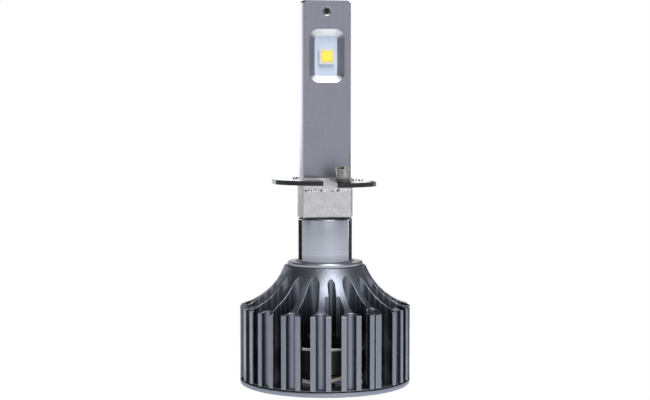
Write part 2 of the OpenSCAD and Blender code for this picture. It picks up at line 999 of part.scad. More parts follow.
// The flange's hole, which the sleeve is staked into
module sleeve_hole() {
  intersection() {
    circle(r = sleeve_out_r + 0.02);
    square([4 * mast_r, 2 * sleeve_out_half + 0.04], center = true);
  }
  rounded_rect(2 * sleeve_front_half + 0.04, 2 * sleeve_out_half + 0.04, sleeve_corner);
}

heat_sink();
base_cover();
cover_screws();
cable_grommet();
fan_frame();
fan_bearing();
fan_circuit_board();
stator_core();
stator_coils();
fan_leads();
fan_rotor();
rotor_yoke();
rotor_magnet();
fan_shaft();
shaft_clip();
driver_board();
driver_inductor();
driver_capacitors();
driver_chips();
power_terminal();
stem();
stem_lock_nut();
front_mast_shell();
rear_mast_shell();
copper_core();
mast_screw();
front_led_board();
rear_led_board();
front_led_package();
rear_led_package();
front_phosphor();
rear_phosphor();
led_leads();
mounting_flange();
collar_sleeve();
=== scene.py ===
"""Looks for an LED headlight bulb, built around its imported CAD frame.

Lengths are in metres, except in the materials and in the list of places on the CAD model, where they are in
millimetres. Azimuths are in degrees from the front (-Y) towards +X, as in the part's source.
"""

import json
import math

import bpy
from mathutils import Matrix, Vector


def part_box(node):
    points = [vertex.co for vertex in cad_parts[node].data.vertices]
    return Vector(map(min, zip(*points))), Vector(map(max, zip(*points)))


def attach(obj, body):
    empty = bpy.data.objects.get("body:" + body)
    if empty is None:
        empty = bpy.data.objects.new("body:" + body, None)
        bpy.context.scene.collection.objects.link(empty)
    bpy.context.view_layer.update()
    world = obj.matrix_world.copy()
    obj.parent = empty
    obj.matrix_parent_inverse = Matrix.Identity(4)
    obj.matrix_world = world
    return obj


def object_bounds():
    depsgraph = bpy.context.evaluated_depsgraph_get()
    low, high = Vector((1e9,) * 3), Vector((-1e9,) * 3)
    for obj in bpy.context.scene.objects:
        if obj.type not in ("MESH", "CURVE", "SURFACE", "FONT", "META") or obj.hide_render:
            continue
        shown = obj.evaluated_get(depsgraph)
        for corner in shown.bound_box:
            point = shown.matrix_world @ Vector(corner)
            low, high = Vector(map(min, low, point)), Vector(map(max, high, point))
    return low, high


MM = 0.001

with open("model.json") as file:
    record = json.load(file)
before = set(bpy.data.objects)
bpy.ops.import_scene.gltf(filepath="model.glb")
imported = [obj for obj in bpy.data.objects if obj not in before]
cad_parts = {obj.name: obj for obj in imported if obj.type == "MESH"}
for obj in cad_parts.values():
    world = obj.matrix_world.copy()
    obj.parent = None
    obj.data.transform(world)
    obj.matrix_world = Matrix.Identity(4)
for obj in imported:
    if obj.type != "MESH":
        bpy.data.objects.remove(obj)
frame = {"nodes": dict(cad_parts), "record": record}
cad_box = [list(corner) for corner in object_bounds()]
NODES = frame["nodes"]
HEIGHT = cad_box[1][2]


def around(azimuth, away, up):
    """A point at an azimuth and a horizontal distance from the bulb's axis."""
    turn = math.radians(azimuth)
    return Vector((away * math.sin(turn), -away * math.cos(turn), up))


# ------------------------------------------------------------------ places on the CAD model, in millimetres

SINK_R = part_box("heat_sink")[1].x / MM
STEM_FLANGE_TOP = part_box("heat_sink")[1].z / MM + 1
STEM_R = 6
MAST_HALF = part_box("rear_mast_shell")[1].y / MM
FAN_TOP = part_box("fan_rotor")[1].z / MM + 0.3

FLANGE_TOP = frame["record"]["mounts"][0]["pos_m"][2] / MM
FLANGE_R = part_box("mounting_flange")[1].y / MM
FLANGE_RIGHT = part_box("mounting_flange")[1].x / MM
LUG = around(13, FLANGE_R - 1.6, 0)
LUG_BORE = 1.13
BAND_Z = FLANGE_TOP - 2.4

SCREW = (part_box("mast_screw")[0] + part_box("mast_screw")[1]) / 2 / MM
SCREW_RIM = 1.02

PACKAGE_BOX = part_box("front_led_package")
WINDOW_Z = (PACKAGE_BOX[0].z + PACKAGE_BOX[1].z) / 2 / MM
WINDOW_HALF = 5.9
PHOSPHOR_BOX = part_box("front_phosphor")
PHOSPHOR = (PHOSPHOR_BOX[0] + PHOSPHOR_BOX[1]) / 2 / MM
PHOSPHOR_HALF = (PHOSPHOR_BOX[1].x - PHOSPHOR_BOX[0].x) / 2 / MM


# ------------------------------------------------------------------ node trees

class Graph:
    """A small builder for node trees. A value is a number, a tuple or another node's socket."""

    def __init__(self, tree):
        self.tree = tree
        tree.nodes.clear()

    def put(self, socket, value):
        """Links a socket, or sets a plain value on it. Colours need only three numbers."""
        if isinstance(value, bpy.types.NodeSocket):
            self.tree.links.new(value, socket)
        elif socket.type == "RGBA":
            socket.default_value = (*value[:3], 1)
        else:
            socket.default_value = value

    def add(self, kind, inputs=None, **settings):
        made = self.tree.nodes.new(kind)
        for key, value in settings.items():
            setattr(made, key, value)
        for key, value in (inputs or {}).items():
            self.put(made.inputs[key], value)
        return made

    def math(self, operation, a, b=0.0):
        return self.add("ShaderNodeMath", {0: a, 1: b}, operation=operation).outputs[0]

    def plus(self, a, b):
        return self.math("ADD", a, b)

    def minus(self, a, b):
        return self.math("SUBTRACT", a, b)

    def times(self, a, b):
        return self.math("MULTIPLY", a, b)

    def most(self, a, b):
        return self.math("MAXIMUM", a, b)

    def size(self, a):
        return self.math("ABSOLUTE", a)

    def inverse(self, a):
        return self.minus(1.0, a)

    def remap(self, value, from_low, from_high, to_low, to_high):
        limits = {"Value": value, "From Min": from_low, "From Max": from_high,
                  "To Min": to_low, "To Max": to_high}
        return self.add("ShaderNodeMapRange", limits, interpolation_type="SMOOTHSTEP").outputs["Result"]

    def rise(self, value, low, high, top=1.0):
        """0 where the value is under low, and top where it is over high."""
        return self.remap(value, low, high, 0.0, top)

    def fall(self, value, low, high, top=1.0):
        """Top where the value is under low, and 0 where it is over high."""
        return self.remap(value, low, high, top, 0.0)

    def mix(self, amount, a, b, kind="MIX"):
        """A colour between a and b."""
        inputs = {0: amount, 6: a, 7: b}
        return self.add("ShaderNodeMix", inputs, data_type="RGBA", blend_type=kind).outputs[2]

    def blend(self, amount, a, b):
        """A number between a and b."""
        return self.add("ShaderNodeMix", {0: amount, 2: a, 3: b}, data_type="FLOAT").outputs[0]

    def scaled(self, vector, factors):
        return self.add("ShaderNodeVectorMath", {0: vector, 1: factors}, operation="MULTIPLY").outputs[0]

    def length(self, vector):
        return self.add("ShaderNodeVectorMath", {0: vector}, operation="LENGTH").outputs["Value"]

    def dot(self, a, b):
        return self.add("ShaderNodeVectorMath", {0: a, 1: b}, operation="DOT_PRODUCT").outputs["Value"]


# ------------------------------------------------------------------ camera and light

CAMERA_AZ = -9.4
CAMERA_AWAY = 0.3
CAMERA_UP = 0.0585
AIM_UP = 0.04078
FOCAL = 74.6


def aim(obj, target):
    obj.rotation_euler = (target - obj.location).to_track_quat("-Z", "Y").to_euler()


def add_camera():
    data = bpy.data.cameras.new("camera")
    data.lens = FOCAL
    data.clip_start = 0.01
    camera = bpy.data.objects.new("camera", data)
    bpy.context.collection.objects.link(camera)
    camera.location = around(CAMERA_AZ, CAMERA_AWAY, CAMERA_UP)
    aim(camera, Vector((0, 0, AIM_UP)))
    bpy.context.scene.camera = camera


def add_softbox(name, azimuth, elevation, away, size, watts):
    """An area light that faces the bulb; its azimuth is counted from the camera's."""
    data = bpy.data.lights.new(name, "AREA")
    data.shape = "RECTANGLE"
    data.size, data.size_y = size
    data.energy = watts
    box = bpy.data.objects.new(name, data)
    bpy.context.collection.objects.link(box)
    rise = math.radians(elevation)
    middle = Vector((0, 0, 0.4 * HEIGHT))
    box.location = around(CAMERA_AZ + azimuth, away * math.cos(rise), middle.z + away * math.sin(rise))
    aim(box, middle)
    box.visible_camera = False


# Brightness of the studio: the band at the horizon, what the lamp adds to it, behind, the share left at the
# sides, and above
BAND = 0.5
BAND_LAMP = 0.3
BACK = 1.5
SIDES = 0.4
DOME = 0.04
LAMP_AZ = 20
WORLD_TINT = (0.95, 0.97, 1.0)
# The brightness behind the bulb that the camera itself sees
BEHIND_SEEN = 1.0


def add_world():
    """A studio: an even grey band at the horizon, white behind the bulb, and a dim dome."""
    world = bpy.data.worlds.new("studio")
    bpy.context.scene.world = world
    world.use_nodes = True
    g = Graph(world.node_tree)
    direction = g.add("ShaderNodeTexCoord").outputs["Generated"]
    parts = g.add("ShaderNodeSeparateXYZ", {0: direction}).outputs

    def towards(azimuth):
        """How much the direction points to an azimuth counted from the camera's, from -1 to 1."""
        to = around(CAMERA_AZ + azimuth, 1, 0)
        return g.plus(g.times(parts["X"], to.x), g.times(parts["Y"], to.y))

    behind = towards(180)
    beside = g.inverse(g.times(behind, behind))
    lamp = g.rise(towards(LAMP_AZ), 0.85, 1.0, BAND_LAMP)
    open_level = g.plus(g.remap(behind, 0.3, 0.6, BAND, BACK), lamp)
    band_level = g.times(open_level, g.remap(beside, 0.6, 0.95, 1.0, SIDES))
    dome_level = g.remap(behind, -0.2, 0.6, DOME, 0.4 * DOME)
    band = g.fall(parts["Z"], 0.1, 0.4)
    level = g.plus(g.times(band, band_level), g.times(g.inverse(band), dome_level))
    seen = g.add("ShaderNodeLightPath").outputs["Is Camera Ray"]
    lit = {"Color": g.mix(seen, WORLD_TINT, (1, 1, 1)), "Strength": g.blend(seen, level, BEHIND_SEEN)}
    background = g.add("ShaderNodeBackground", lit)
    output = g.add("ShaderNodeOutputWorld")
    g.tree.links.new(background.outputs[0], output.inputs[0])


def mesh_object(name, points, faces):
    mesh = bpy.data.meshes.new(name)
    mesh.from_pydata(points, [], faces)
    mesh.update()
    obj = bpy.data.objects.new(name, mesh)
    bpy.context.collection.objects.link(obj)
    return obj


def add_floor():
    half = 1.5
    floor = mesh_object("floor", [(-half, -half, 0), (half, -half, 0), (half, half, 0), (-half, half, 0)],
                        [(0, 1, 2, 3)])
    floor.location.z = -0.02 * MM
    floor.visible_camera = False
    floor.data.materials.append(MATERIALS["studio_white"])


def add_reflector(name, corners, azimuth, away, made):
    """A card that is seen only in reflections; its azimuth is counted from the camera's."""
    card = mesh_object(name, corners, [(0, 1, 2, 3)])
    card.location = around(CAMERA_AZ + azimuth, away, 0)
    card.rotation_euler.z = math.radians(CAMERA_AZ + azimuth)
    card.visible_camera = False
    card.visible_shadow = False
    card.visible_diffuse = False
    card.data.materials.append(made)


def add_card(name, azimuth, away, width, low, high):
    """A black card that stands beside or behind the bulb."""
    corners = [(-width / 2, 0, low), (width / 2, 0, low), (width / 2, 0, high), (-width / 2, 0, high)]
    add_reflector(name, corners, azimuth, away, MATERIALS["studio_black"])


def add_floor_card(name, azimuth, away, width, length):
    """A bright card that lies on the floor."""
    up = 0.1 * MM
    corners = [(-width / 2, -length / 2, up), (width / 2, -length / 2, up),
               (width / 2, length / 2, up), (-width / 2, length / 2, up)]
    add_reflector(name, corners, azimuth, away, MATERIALS["studio_bright"])


# ------------------------------------------------------------------ materials, in millimetres

class Surface(Graph):
    """A material with a Principled shader. Places on it are in millimetres, in the bulb's own frame."""

    def __init__(self, name):
        self.name = name
        self.material = bpy.data.materials.new(name)
        self.material.use_nodes = True
        super().__init__(self.material.node_tree)
        self.shader = self.add("ShaderNodeBsdfPrincipled")
        output = self.add("ShaderNodeOutputMaterial")
        self.tree.links.new(self.shader.outputs[0], output.inputs[0])
        place = self.add("ShaderNodeTexCoord").outputs["Object"]
        self.place = self.scaled(place, (1 / MM, 1 / MM, 1 / MM))

    def set(self, values):
        for key, value in values.items():
            self.put(self.shader.inputs[key], value)

    def now(self, key):
        """What feeds one of the shader's inputs so far."""
        return self.shader.inputs[key].links[0].from_socket

    def noise(self, scale, detail=3.0, stretch=(1, 1, 1), rough=0.5):
        """Noise with this many features a millimetre, denser along an axis with a larger stretch."""
        inputs = {"Vector": self.scaled(self.place, stretch), "Scale": scale, "Detail": detail,
                  "Roughness": rough}
        return self.add("ShaderNodeTexNoise", inputs).outputs["Fac"]

    def blotches(self, spread, low, high, scale=0.25):
        """A value that drifts slowly over the surface between low and high."""
        return self.remap(self.noise(scale, 4), 0.5 - spread, 0.5 + spread, low, high)

    def bump(self, height, depth, after=None):
        inputs = {"Height": height, "Strength": 1.0, "Distance": depth * MM}
        if after is not None:
            inputs["Normal"] = after
        return self.add("ShaderNodeBump", inputs).outputs[0]

    def along(self, axis):
        return self.add("ShaderNodeSeparateXYZ", {0: self.place}).outputs[axis]

    def from_middle(self):
        """Distance to the left or right of the bulb's middle plane."""
        return self.size(self.along("X"))

    def radius(self):
        """Distance from the bulb's axis."""
        return self.length(self.scaled(self.place, (1, 1, 0)))

    def distance_from(self, **middle):
        """Distance from a line that runs along the one axis that isn't named."""
        gaps = {axis: self.minus(self.along(axis), value) for axis, value in middle.items()}
        return self.length(self.add("ShaderNodeCombineXYZ", gaps).outputs[0])

    def normal(self, which):
        """The surface's direction in the bulb's own frame."""
        seen = self.add("ShaderNodeNewGeometry").outputs[which]
        return self.add("ShaderNodeVectorTransform", {0: seen}, vector_type="NORMAL",
                        convert_from="WORLD", convert_to="OBJECT").outputs[0]

    def facing(self, axis, which="True Normal"):
        """How much the surface points along X, Y or Z, from -1 to 1. Normal is smooth over rounded edges."""
        return self.add("ShaderNodeSeparateXYZ", {0: self.normal(which)}).outputs[axis]

    def outward(self):
        """How much the surface points straight away from the bulb's axis, from -1 to 1."""
        flat = self.scaled(self.place, (1, 1, 0))
        away = self.add("ShaderNodeVectorMath", {0: flat}, operation="NORMALIZE").outputs[0]
        return self.dot(self.normal("Normal"), away)

    def darken(self, mask, colour, roughness):
        """Where the mask is 1, the surface takes this colour and roughness, and loses its metal shine."""
        base = self.now("Base Color")
        rough = self.now("Roughness")
        stay = self.inverse(mask)
        level = self.plus(self.times(stay, rough), self.times(mask, roughness))
        self.set({"Base Color": self.mix(mask, base, colour), "Roughness": level, "Metallic": stay})

    def worn_and_highlit_edges(self, colour, width, amount):
        """Rounds the edges for the light, and paints brighter metal along them in a broken line: partly wear,
        partly a painted highlight.
        """
        rounded = self.add("ShaderNodeBevel", {"Radius": width * MM}, samples=4).outputs[0]
        flat = self.add("ShaderNodeNewGeometry").outputs["Normal"]
        edge = self.fall(self.dot(rounded, flat), 0.85, 0.99)
        broken = self.remap(self.noise(5.0, 2), 0.4, 0.6, 0.2, 1.0)
        base = self.now("Base Color")
        worn = self.times(self.times(edge, broken), amount)
        self.set({"Base Color": self.mix(worn, base, colour),
                  "Normal": self.bump(self.noise(3.5, 2), 0.03, rounded)})


def tint(colour, factor):
    return tuple(min(1.0, c * factor) for c in colour)


def anodised(name, colour, roughness, speckle):
    """Blasted and anodised aluminium: a fine sparkling grain, faint draw lines along Z."""
    g = Surface(name)
    grain = g.noise(7.0, 2)
    lines = g.noise(1.0, 3, (5, 5, 0.08), 0.6)
    mottle = g.plus(g.times(grain, 0.7), g.times(lines, 0.3))
    base = g.mix(g.rise(mottle, 0.35, 0.65), tint(colour, 1 - speckle), tint(colour, 1 + speckle))
    g.set({"Base Color": base, "Metallic": 1.0,
           "Roughness": g.blotches(0.3, roughness * 0.92, roughness * 1.08),
           "Normal": g.bump(lines, 0.002, g.bump(grain, 0.008))})
    return g


def turned(name, colour, roughness, ring_depth):
    """Bright aluminium with the rings that a lathe tool leaves round Z."""
    g = Surface(name)
    rings = g.noise(1.0, 4, (0.05, 0.05, 7), 0.7)
    base = g.mix(g.rise(rings, 0.3, 0.7), tint(colour, 0.9), tint(colour, 1.08))
    g.set({"Base Color": base, "Metallic": 1.0,
           "Roughness": g.remap(rings, 0.3, 0.7, roughness * 0.8, roughness * 1.3),
           "Normal": g.bump(rings, ring_depth)})
    return g


def plated(name, colour, roughness, scratches=0.002):
    """Bright plating or bare metal with faint stains and fine scratches."""
    g = Surface(name)
    lines = g.noise(1.0, 2, (0.5, 9, 9), 0.5)
    cross = g.noise(1.0, 2, (9, 0.6, 7), 0.5)
    base = g.mix(g.blotches(0.2, 0, 1, 0.5), tint(colour, 0.94), tint(colour, 1.06))
    g.set({"Base Color": base, "Metallic": 1.0,
           "Roughness": g.blotches(0.25, roughness * 0.8, roughness * 1.3, 0.8),
           "Normal": g.bump(lines, scratches, g.bump(cross, scratches))})
    return g


def plastic(name, colour, roughness, emit=0.0):
    """Plastic, rubber, paint or ceramic with a fine moulded grain."""
    g = Surface(name)
    clouds = g.noise(0.4, 3)
    base = g.mix(clouds, tint(colour, 0.94), tint(colour, 1.06))
    g.set({"Base Color": base,
           "Roughness": g.remap(clouds, 0.3, 0.7, roughness * 0.85, roughness * 1.15),
           "Normal": g.bump(g.noise(4.0, 2), 0.004)})
    if emit:
        g.set({"Emission Color": colour, "Emission Strength": emit})
    return g


NICKEL = (0.75, 0.725, 0.71)
BRIGHT = (0.97, 0.97, 0.97)


def heat_sink_surface():
    """Dark anodised. Painted light makes the lands round the rim lighter and paints a highlight in the middle
    of each groove; painted shade darkens the groove sides, the outer bell and the deep fin webs near the
    axis; painted highlights stand for fine upright ribs on the webs.
    """
    land_dark, land_light = (0.33, 0.35, 0.41), (0.4, 0.43, 0.5)
    groove_wall_shade, groove_floor_highlight = (0.06, 0.065, 0.08), (0.36, 0.38, 0.45)
    rib_highlight, rib_pitch = (0.62, 0.66, 0.75), 1.45
    bell_shade, inner_shade = (0.05, 0.055, 0.07), (0.03, 0.03, 0.035)
    land_r = (SINK_R - 0.35, SINK_R - 0.15)
    groove_r = (SINK_R - 1.75, SINK_R - 1.65)
    web_r = (SINK_R - 2.8, SINK_R - 2.4)
    inner_r = (SINK_R - 4, SINK_R - 3)

    g = anodised("black_anodised", (0.26, 0.28, 0.33), 0.44, 0.2)
    radius = g.radius()
    out = g.outward()
    upright = g.fall(g.size(g.facing("Z")), 0.1, 0.3)
    # Painted light: the lands round the rim take a lighter, lit copy of the anodising.
    painted_light_lands = g.times(upright, g.rise(radius, *land_r))
    lighter = g.mix(g.noise(3.0, 3, (1, 1, 0.2)), land_dark, land_light)
    # Painted highlight in the middle of each groove and painted shade on its sides.
    in_groove = g.times(g.times(upright, g.rise(radius, *groove_r)), g.fall(radius, *land_r))
    floor = g.times(in_groove, g.rise(out, 0.7, 0.95))
    groove_shade_mask = g.times(in_groove, g.fall(out, 0.2, 0.7, 0.8))
    base = g.mix(painted_light_lands, g.now("Base Color"), lighter)
    base = g.mix(groove_shade_mask, base, groove_wall_shade)
    base = g.mix(floor, base, groove_floor_highlight)

    # Painted highlights stand for fine upright ribs on the webs, which the mesh lacks.
    on_web = g.times(g.times(upright, g.fall(g.size(out), 0.2, 0.5)), g.fall(radius, *web_r))
    wave = g.math("SINE", g.times(radius, 2 * math.pi / rib_pitch))
    base = g.mix(g.times(on_web, g.rise(wave, 0.3, 0.7, 0.8)), base, rib_highlight)

    # Painted shade on the outer bell, and on the deep upright faces low down near the axis.
    outer_bell_shade = g.times(g.inverse(upright), g.rise(radius, 11.0, 16.5, 0.6))
    base = g.mix(outer_bell_shade, base, bell_shade)
    deep_inner_shade = g.times(g.fall(radius, *inner_r), g.fall(g.along("Z"), 14, 21, 0.85))
    g.set({"Base Color": g.mix(g.times(upright, deep_inner_shade), base, inner_shade)})
    # Painted highlights, partly wear, along the edges.
    g.worn_and_highlit_edges((0.9, 0.92, 0.95), 0.2, 0.9)
    return g


def cover_surface():
    """The cover's rim is grey; the plate's upper face, seen between the fins, is painted nearly black as
    shade.
    """
    g = anodised("cover_anodised", (0.44, 0.46, 0.55), 0.45, 0.1)
    # Painted shade: the upward faces are darkened nearly to black.
    g.darken(g.rise(g.facing("Z", "Normal"), 0.3, 0.6), (0.01, 0.01, 0.011), 0.6)
    return g


def flange_surface():
    """Plated sheet: a painted dark reflection along the outline, painted shade on the top face in front of
    the mast, and a dull, stained curled lug with painted shade at its base, down its right side and in its
    bore.
    """
    g = plated("flange_plate", NICKEL, 0.2)
    x, y, z = g.along("X"), g.along("Y"), g.along("Z")
    upright = g.fall(g.size(g.facing("Z")), 0.5, 0.7)
    outer = g.rise(g.radius(), 10.1, 10.3)
    low = g.fall(z, FLANGE_TOP - 0.02, FLANGE_TOP)
    round_part = g.fall(g.size(g.facing("X")), 0.96, 0.99)
    fade = g.remap(x, FLANGE_RIGHT - 1.1, FLANGE_RIGHT - 0.1, 1, 0.25)
    # Painted reflection: the outline is darkened where it mirrors dark surroundings, less towards the right
    # end.
    dark_edge_reflection = g.times(g.times(upright, outer), g.times(low, g.times(round_part, fade)))

    # The lug: stains, plus painted shade at its base, down its right edge and in its bore.
    on_lug = g.times(g.rise(z, FLANGE_TOP + 0.02, FLANGE_TOP + 0.06), g.rise(g.radius(), 8.6, 8.8))
    foot_shade = g.fall(z, FLANGE_TOP, FLANGE_TOP + 1.6)
    side = g.rise(x, LUG.x + 1.0, LUG.x + 1.25, 0.97)
    stains = g.rise(g.noise(3.2, 4), 0.42, 0.66, 0.6)
    bore_shade = g.fall(g.distance_from(X=LUG.x, Y=LUG.y), LUG_BORE, LUG_BORE + 0.1)
    lug_stains_and_shade = g.times(on_lug, g.most(g.most(foot_shade, side), g.most(stains, bore_shade)))

    # Painted shade on the top face in front of the mast.
    before_mast_shade = g.times(g.rise(g.facing("Z"), 0.6, 0.8), g.fall(g.from_middle(), 5.0, 5.4))
    before_mast_shade = g.times(before_mast_shade, g.rise(y, -9.5, -9.0, 0.8))
    before_mast_shade = g.times(before_mast_shade, g.fall(y, 0.0, 1.0))
    g.darken(g.most(before_mast_shade, g.most(dark_edge_reflection, lug_stains_and_shade)), (0.02, 0.02, 0.022), 0.5)
    return g


def sleeve_surface():
    """Plated sheet. A bright band across the front is a painted highlight along a rolled bend, pitted by the
    roller; a painted highlight runs along its top edge.
    """
    g = plated("sleeve_plate", (0.8, 0.77, 0.765), 0.22)
    z = g.along("Z")
    grain = g.remap(g.noise(6, 2), 0.35, 0.65, 0.82, 1.1)
    grained = g.mix(1.0, g.now("Base Color"), grain, "MULTIPLY")
    # Painted highlight: a bright band across the front, broken by dark pits.
    bend_highlight = g.times(g.rise(z, BAND_Z - 0.3, BAND_Z - 0.25), g.fall(z, BAND_Z + 0.25, BAND_Z + 0.3))
    front = g.times(g.fall(g.facing("Y"), -0.98, -0.95), g.fall(g.from_middle(), 5.1, 5.3))
    bend_highlight = g.times(bend_highlight, front)
    pits = g.rise(g.noise(2.4, 1, (1, 1, 0.9)), 0.51, 0.57)
    highlighted = g.mix(bend_highlight, grained, BRIGHT)
    pitted = g.mix(g.times(bend_highlight, pits), highlighted, (0.12, 0.1, 0.09))
    # Painted highlight along the top edge.
    lip_highlight = g.rise(z, FLANGE_TOP + 0.02, FLANGE_TOP + 0.08)
    round_side = g.fall(g.size(g.facing("Y")), 0.85, 0.95)
    g.set({"Base Color": g.mix(lip_highlight, pitted, BRIGHT),
           "Roughness": g.blend(round_side, g.now("Roughness"), 0.45)})
    return g


def frame_plastic_surface():
    """The fan's frame: black plastic with a painted highlight round its top edge."""
    g = plastic("frame_plastic", (0.02, 0.02, 0.022), 0.35)
    z = g.along("Z")
    # Painted highlight round the top edge.
    top_edge_highlight = g.times(g.rise(z, FAN_TOP - 0.4, FAN_TOP - 0.35), g.fall(z, FAN_TOP + 0.02, FAN_TOP + 0.05))
    g.set({"Base Color": g.mix(top_edge_highlight, g.now("Base Color"), (0.97, 0.97, 0.95))})
    return g


def mast_surface():
    """Anodised bar; the windows and the countersinks, milled later, are unanodised and brighter. The windows'
    upper and lower walls are painted near-white, partly as painted light. Painted shade darkens the faces
    just above the collar and beside the lug.
    """
    window, window_bare_lit = (0.38, 0.38, 0.43), (0.97, 0.98, 1.0)
    countersink, round_side, painted_shade_colour = (0.72, 0.73, 0.77), (0.6, 0.6, 0.66), (0.06, 0.06, 0.07)
    low, high = WINDOW_Z - WINDOW_HALF, WINDOW_Z + WINDOW_HALF

    g = anodised("mast_anodised", (0.39, 0.385, 0.455), 0.38, 0.08)
    z = g.along("Z")
    deep = g.fall(g.size(g.along("Y")), MAST_HALF - 0.12, MAST_HALF - 0.02)
    inside = g.times(deep, g.fall(g.from_middle(), 4.4, 4.6))
    in_window = g.times(inside, g.times(g.rise(z, low - 0.3, low), g.fall(z, high, high + 0.3)))
    # The upper and lower window faces are unanodised and painted near-white, partly as painted light.
    bare_lit_walls = g.times(in_window, g.rise(g.size(g.facing("Z", "Normal")), 0.15, 0.6))
    sunk = g.fall(g.distance_from(X=0, Z=SCREW.z), SCREW_RIM, SCREW_RIM + 0.05)
    base = g.mix(in_window, g.now("Base Color"), window)
    base = g.mix(bare_lit_walls, base, window_bare_lit)
    base = g.mix(sunk, base, countersink)

    on_round = g.fall(g.size(g.facing("Y", "Normal")), 0.4, 0.5)
    on_round = g.times(on_round, g.inverse(in_window))
    base = g.mix(on_round, base, round_side)

    # Painted shade just above the collar and beside the lug, on the front and back faces.
    on_face = g.rise(g.size(g.facing("Y")), 0.95, 0.98)
    contact_shade = g.fall(z, FLANGE_TOP + 0.2, FLANGE_TOP + 1.4, 0.6)
    lug_shadow = g.times(g.fall(z, FLANGE_TOP + 0.5, FLANGE_TOP + 4, 0.5), g.rise(g.along("X"), -2.5, 0.5))
    g.set({"Base Color": g.mix(g.times(on_face, g.most(contact_shade, lug_shadow)), base, painted_shade_colour),
           "Roughness": g.blend(on_round, g.now("Roughness"), 0.2),
           "Metallic": g.inverse(g.times(bare_lit_walls, 0.55))})
    return g


def stem_surface():
    """Bright turned aluminium; its flange is duller. Painted shade darkens its shoulder under the collar, the
    bottom of the stem and the crease where the stem meets its flange.
    """
    top = STEM_FLANGE_TOP
    g = turned("stem_aluminium", (0.66, 0.68, 0.76), 0.1, 0.0015)
    z = g.along("Z")
    on_flange = g.fall(z, top + 0.1, top + 0.3)
    # Painted shade at the bottom of the stem, just above its flange.
    foot_shade = g.times(g.fall(z, top + 0.3, top + 2.2, 0.45), g.inverse(on_flange))
    base = g.mix(on_flange, g.now("Base Color"), (0.62, 0.64, 0.7))
    base = g.mix(foot_shade, base, (0.2, 0.2, 0.23))
    at_shoulder = g.rise(z, top + 5, top + 6)
    corner = g.times(at_shoulder, g.rise(g.facing("Z", "Normal"), 0.1, 0.3))
    rough = g.blend(on_flange, g.now("Roughness"), 0.35)
    g.set({"Base Color": base, "Roughness": g.blend(corner, rough, 0.3)})
    # Painted shade on the shoulder under the collar and in the crease round the stem on its flange.
    shoulder = g.times(at_shoulder, g.rise(g.facing("Z", "Normal"), 0.45, 0.6))
    crease_shade = g.times(on_flange, g.fall(g.radius(), STEM_R + 0.25, STEM_R + 0.8, 0.85))
    crease_shade = g.times(crease_shade, g.rise(g.facing("Z"), 0.6, 0.8))
    g.darken(g.most(shoulder, crease_shade), (0.01, 0.01, 0.012), 0.5)
    return g


def phosphor_surface():
    """A yellow square with orange specks and a tan, dotted border, which glows faintly as painted light."""
    # Painted light: a faint glow, though the bulb is off.
    g = plastic("phosphor", (1.0, 0.8, 0.08), 0.3, emit=0.25)
    side = g.math("SIGN", g.along("Y"))
    across = g.plus(g.along("X"), g.times(side, PHOSPHOR.x))
    up = g.minus(g.along("Z"), PHOSPHOR.z)
    out = g.most(g.size(across), g.size(up))
    border = g.rise(out, PHOSPHOR_HALF - 0.28, PHOSPHOR_HALF - 0.16)
    dots = g.remap(g.noise(4.0, 1), 0.45, 0.55, 0.5, 0.95)
    specks = g.rise(g.noise(3.0, 3), 0.55, 0.7, 0.5)
    base = g.mix(specks, g.now("Base Color"), (0.95, 0.6, 0.03))
    base = g.mix(g.times(border, dots), base, (0.7, 0.52, 0.26))
    g.set({"Base Color": base, "Emission Color": base})
    return g


def screw_surface():
    """A blackened screw with painted shade in its socket and a worn face."""
    g = plated("mast_screw_steel", (0.15, 0.15, 0.155), 0.3)
    across = g.distance_from(X=0, Z=SCREW.z)
    # Painted shade in the socket, lighter at its middle.
    socket = g.times(g.fall(across, 0.5, 0.55), g.remap(across, 0.1, 0.2, 0.4, 1))
    g.darken(socket, (0.01, 0.01, 0.01), 0.5)
    return g


def make_materials():
    """Every material by its name, which is the material slot of the nodes that wear it, or its own."""
    surfaces = [
        heat_sink_surface(),
        cover_surface(),
        mast_surface(),
        flange_surface(),
        frame_plastic_surface(),
        sleeve_surface(),
        screw_surface(),
        stem_surface(),
        phosphor_surface(),
        plated("screw_steel", (0.5, 0.5, 0.51), 0.25),
        plated("copper", (0.75, 0.4, 0.25), 0.3),
        plated("sintered_bronze", (0.5, 0.34, 0.16), 0.45),
        plated("shaft_steel", (0.6, 0.6, 0.62), 0.15, 0.0005),
        plated("lamination", (0.4, 0.41, 0.43), 0.35),
        plated("enamelled_copper", (0.6, 0.22, 0.08), 0.3),
        plastic("board_white", (0.7, 0.8, 0.97), 0.25),
        plastic("package_white", (0.85, 0.84, 0.78), 0.35),
        plastic("rotor_plastic", (0.004, 0.004, 0.005), 0.85),
        plastic("rubber", (0.015, 0.015, 0.015), 0.7),
        plastic("magnet", (0.05, 0.05, 0.055), 0.5),
        plastic("board_green", (0.015, 0.12, 0.045), 0.3),
        plastic("chip_black", (0.015, 0.015, 0.017), 0.5),
        plastic("capacitor_tan", (0.5, 0.36, 0.2), 0.4),
        plastic("ferrite", (0.07, 0.07, 0.07), 0.6),
        plastic("terminal_ivory", (0.75, 0.7, 0.58), 0.45),
        plastic("wire_red", (0.45, 0.02, 0.015), 0.4),
        # Painted light: the ivory lead glows faintly, though it is no lamp.
        plastic("lead_ivory", (0.92, 0.9, 0.86), 0.3, emit=0.12),
        plastic("lead_tan", (0.6, 0.4, 0.22), 0.35),
        plastic("clip_nylon", (0.75, 0.75, 0.72), 0.45),
        plastic("studio_black", (0.0, 0.0, 0.0), 1.0),
        plastic("studio_bright", (0.9, 0.92, 0.96), 1.0, emit=1.1),
        plastic("studio_white", (0.36, 0.37, 0.38), 0.7, emit=1.15),
    ]
    return {surface.name: surface.material for surface in surfaces}


# ------------------------------------------------------------------ CAD nodes

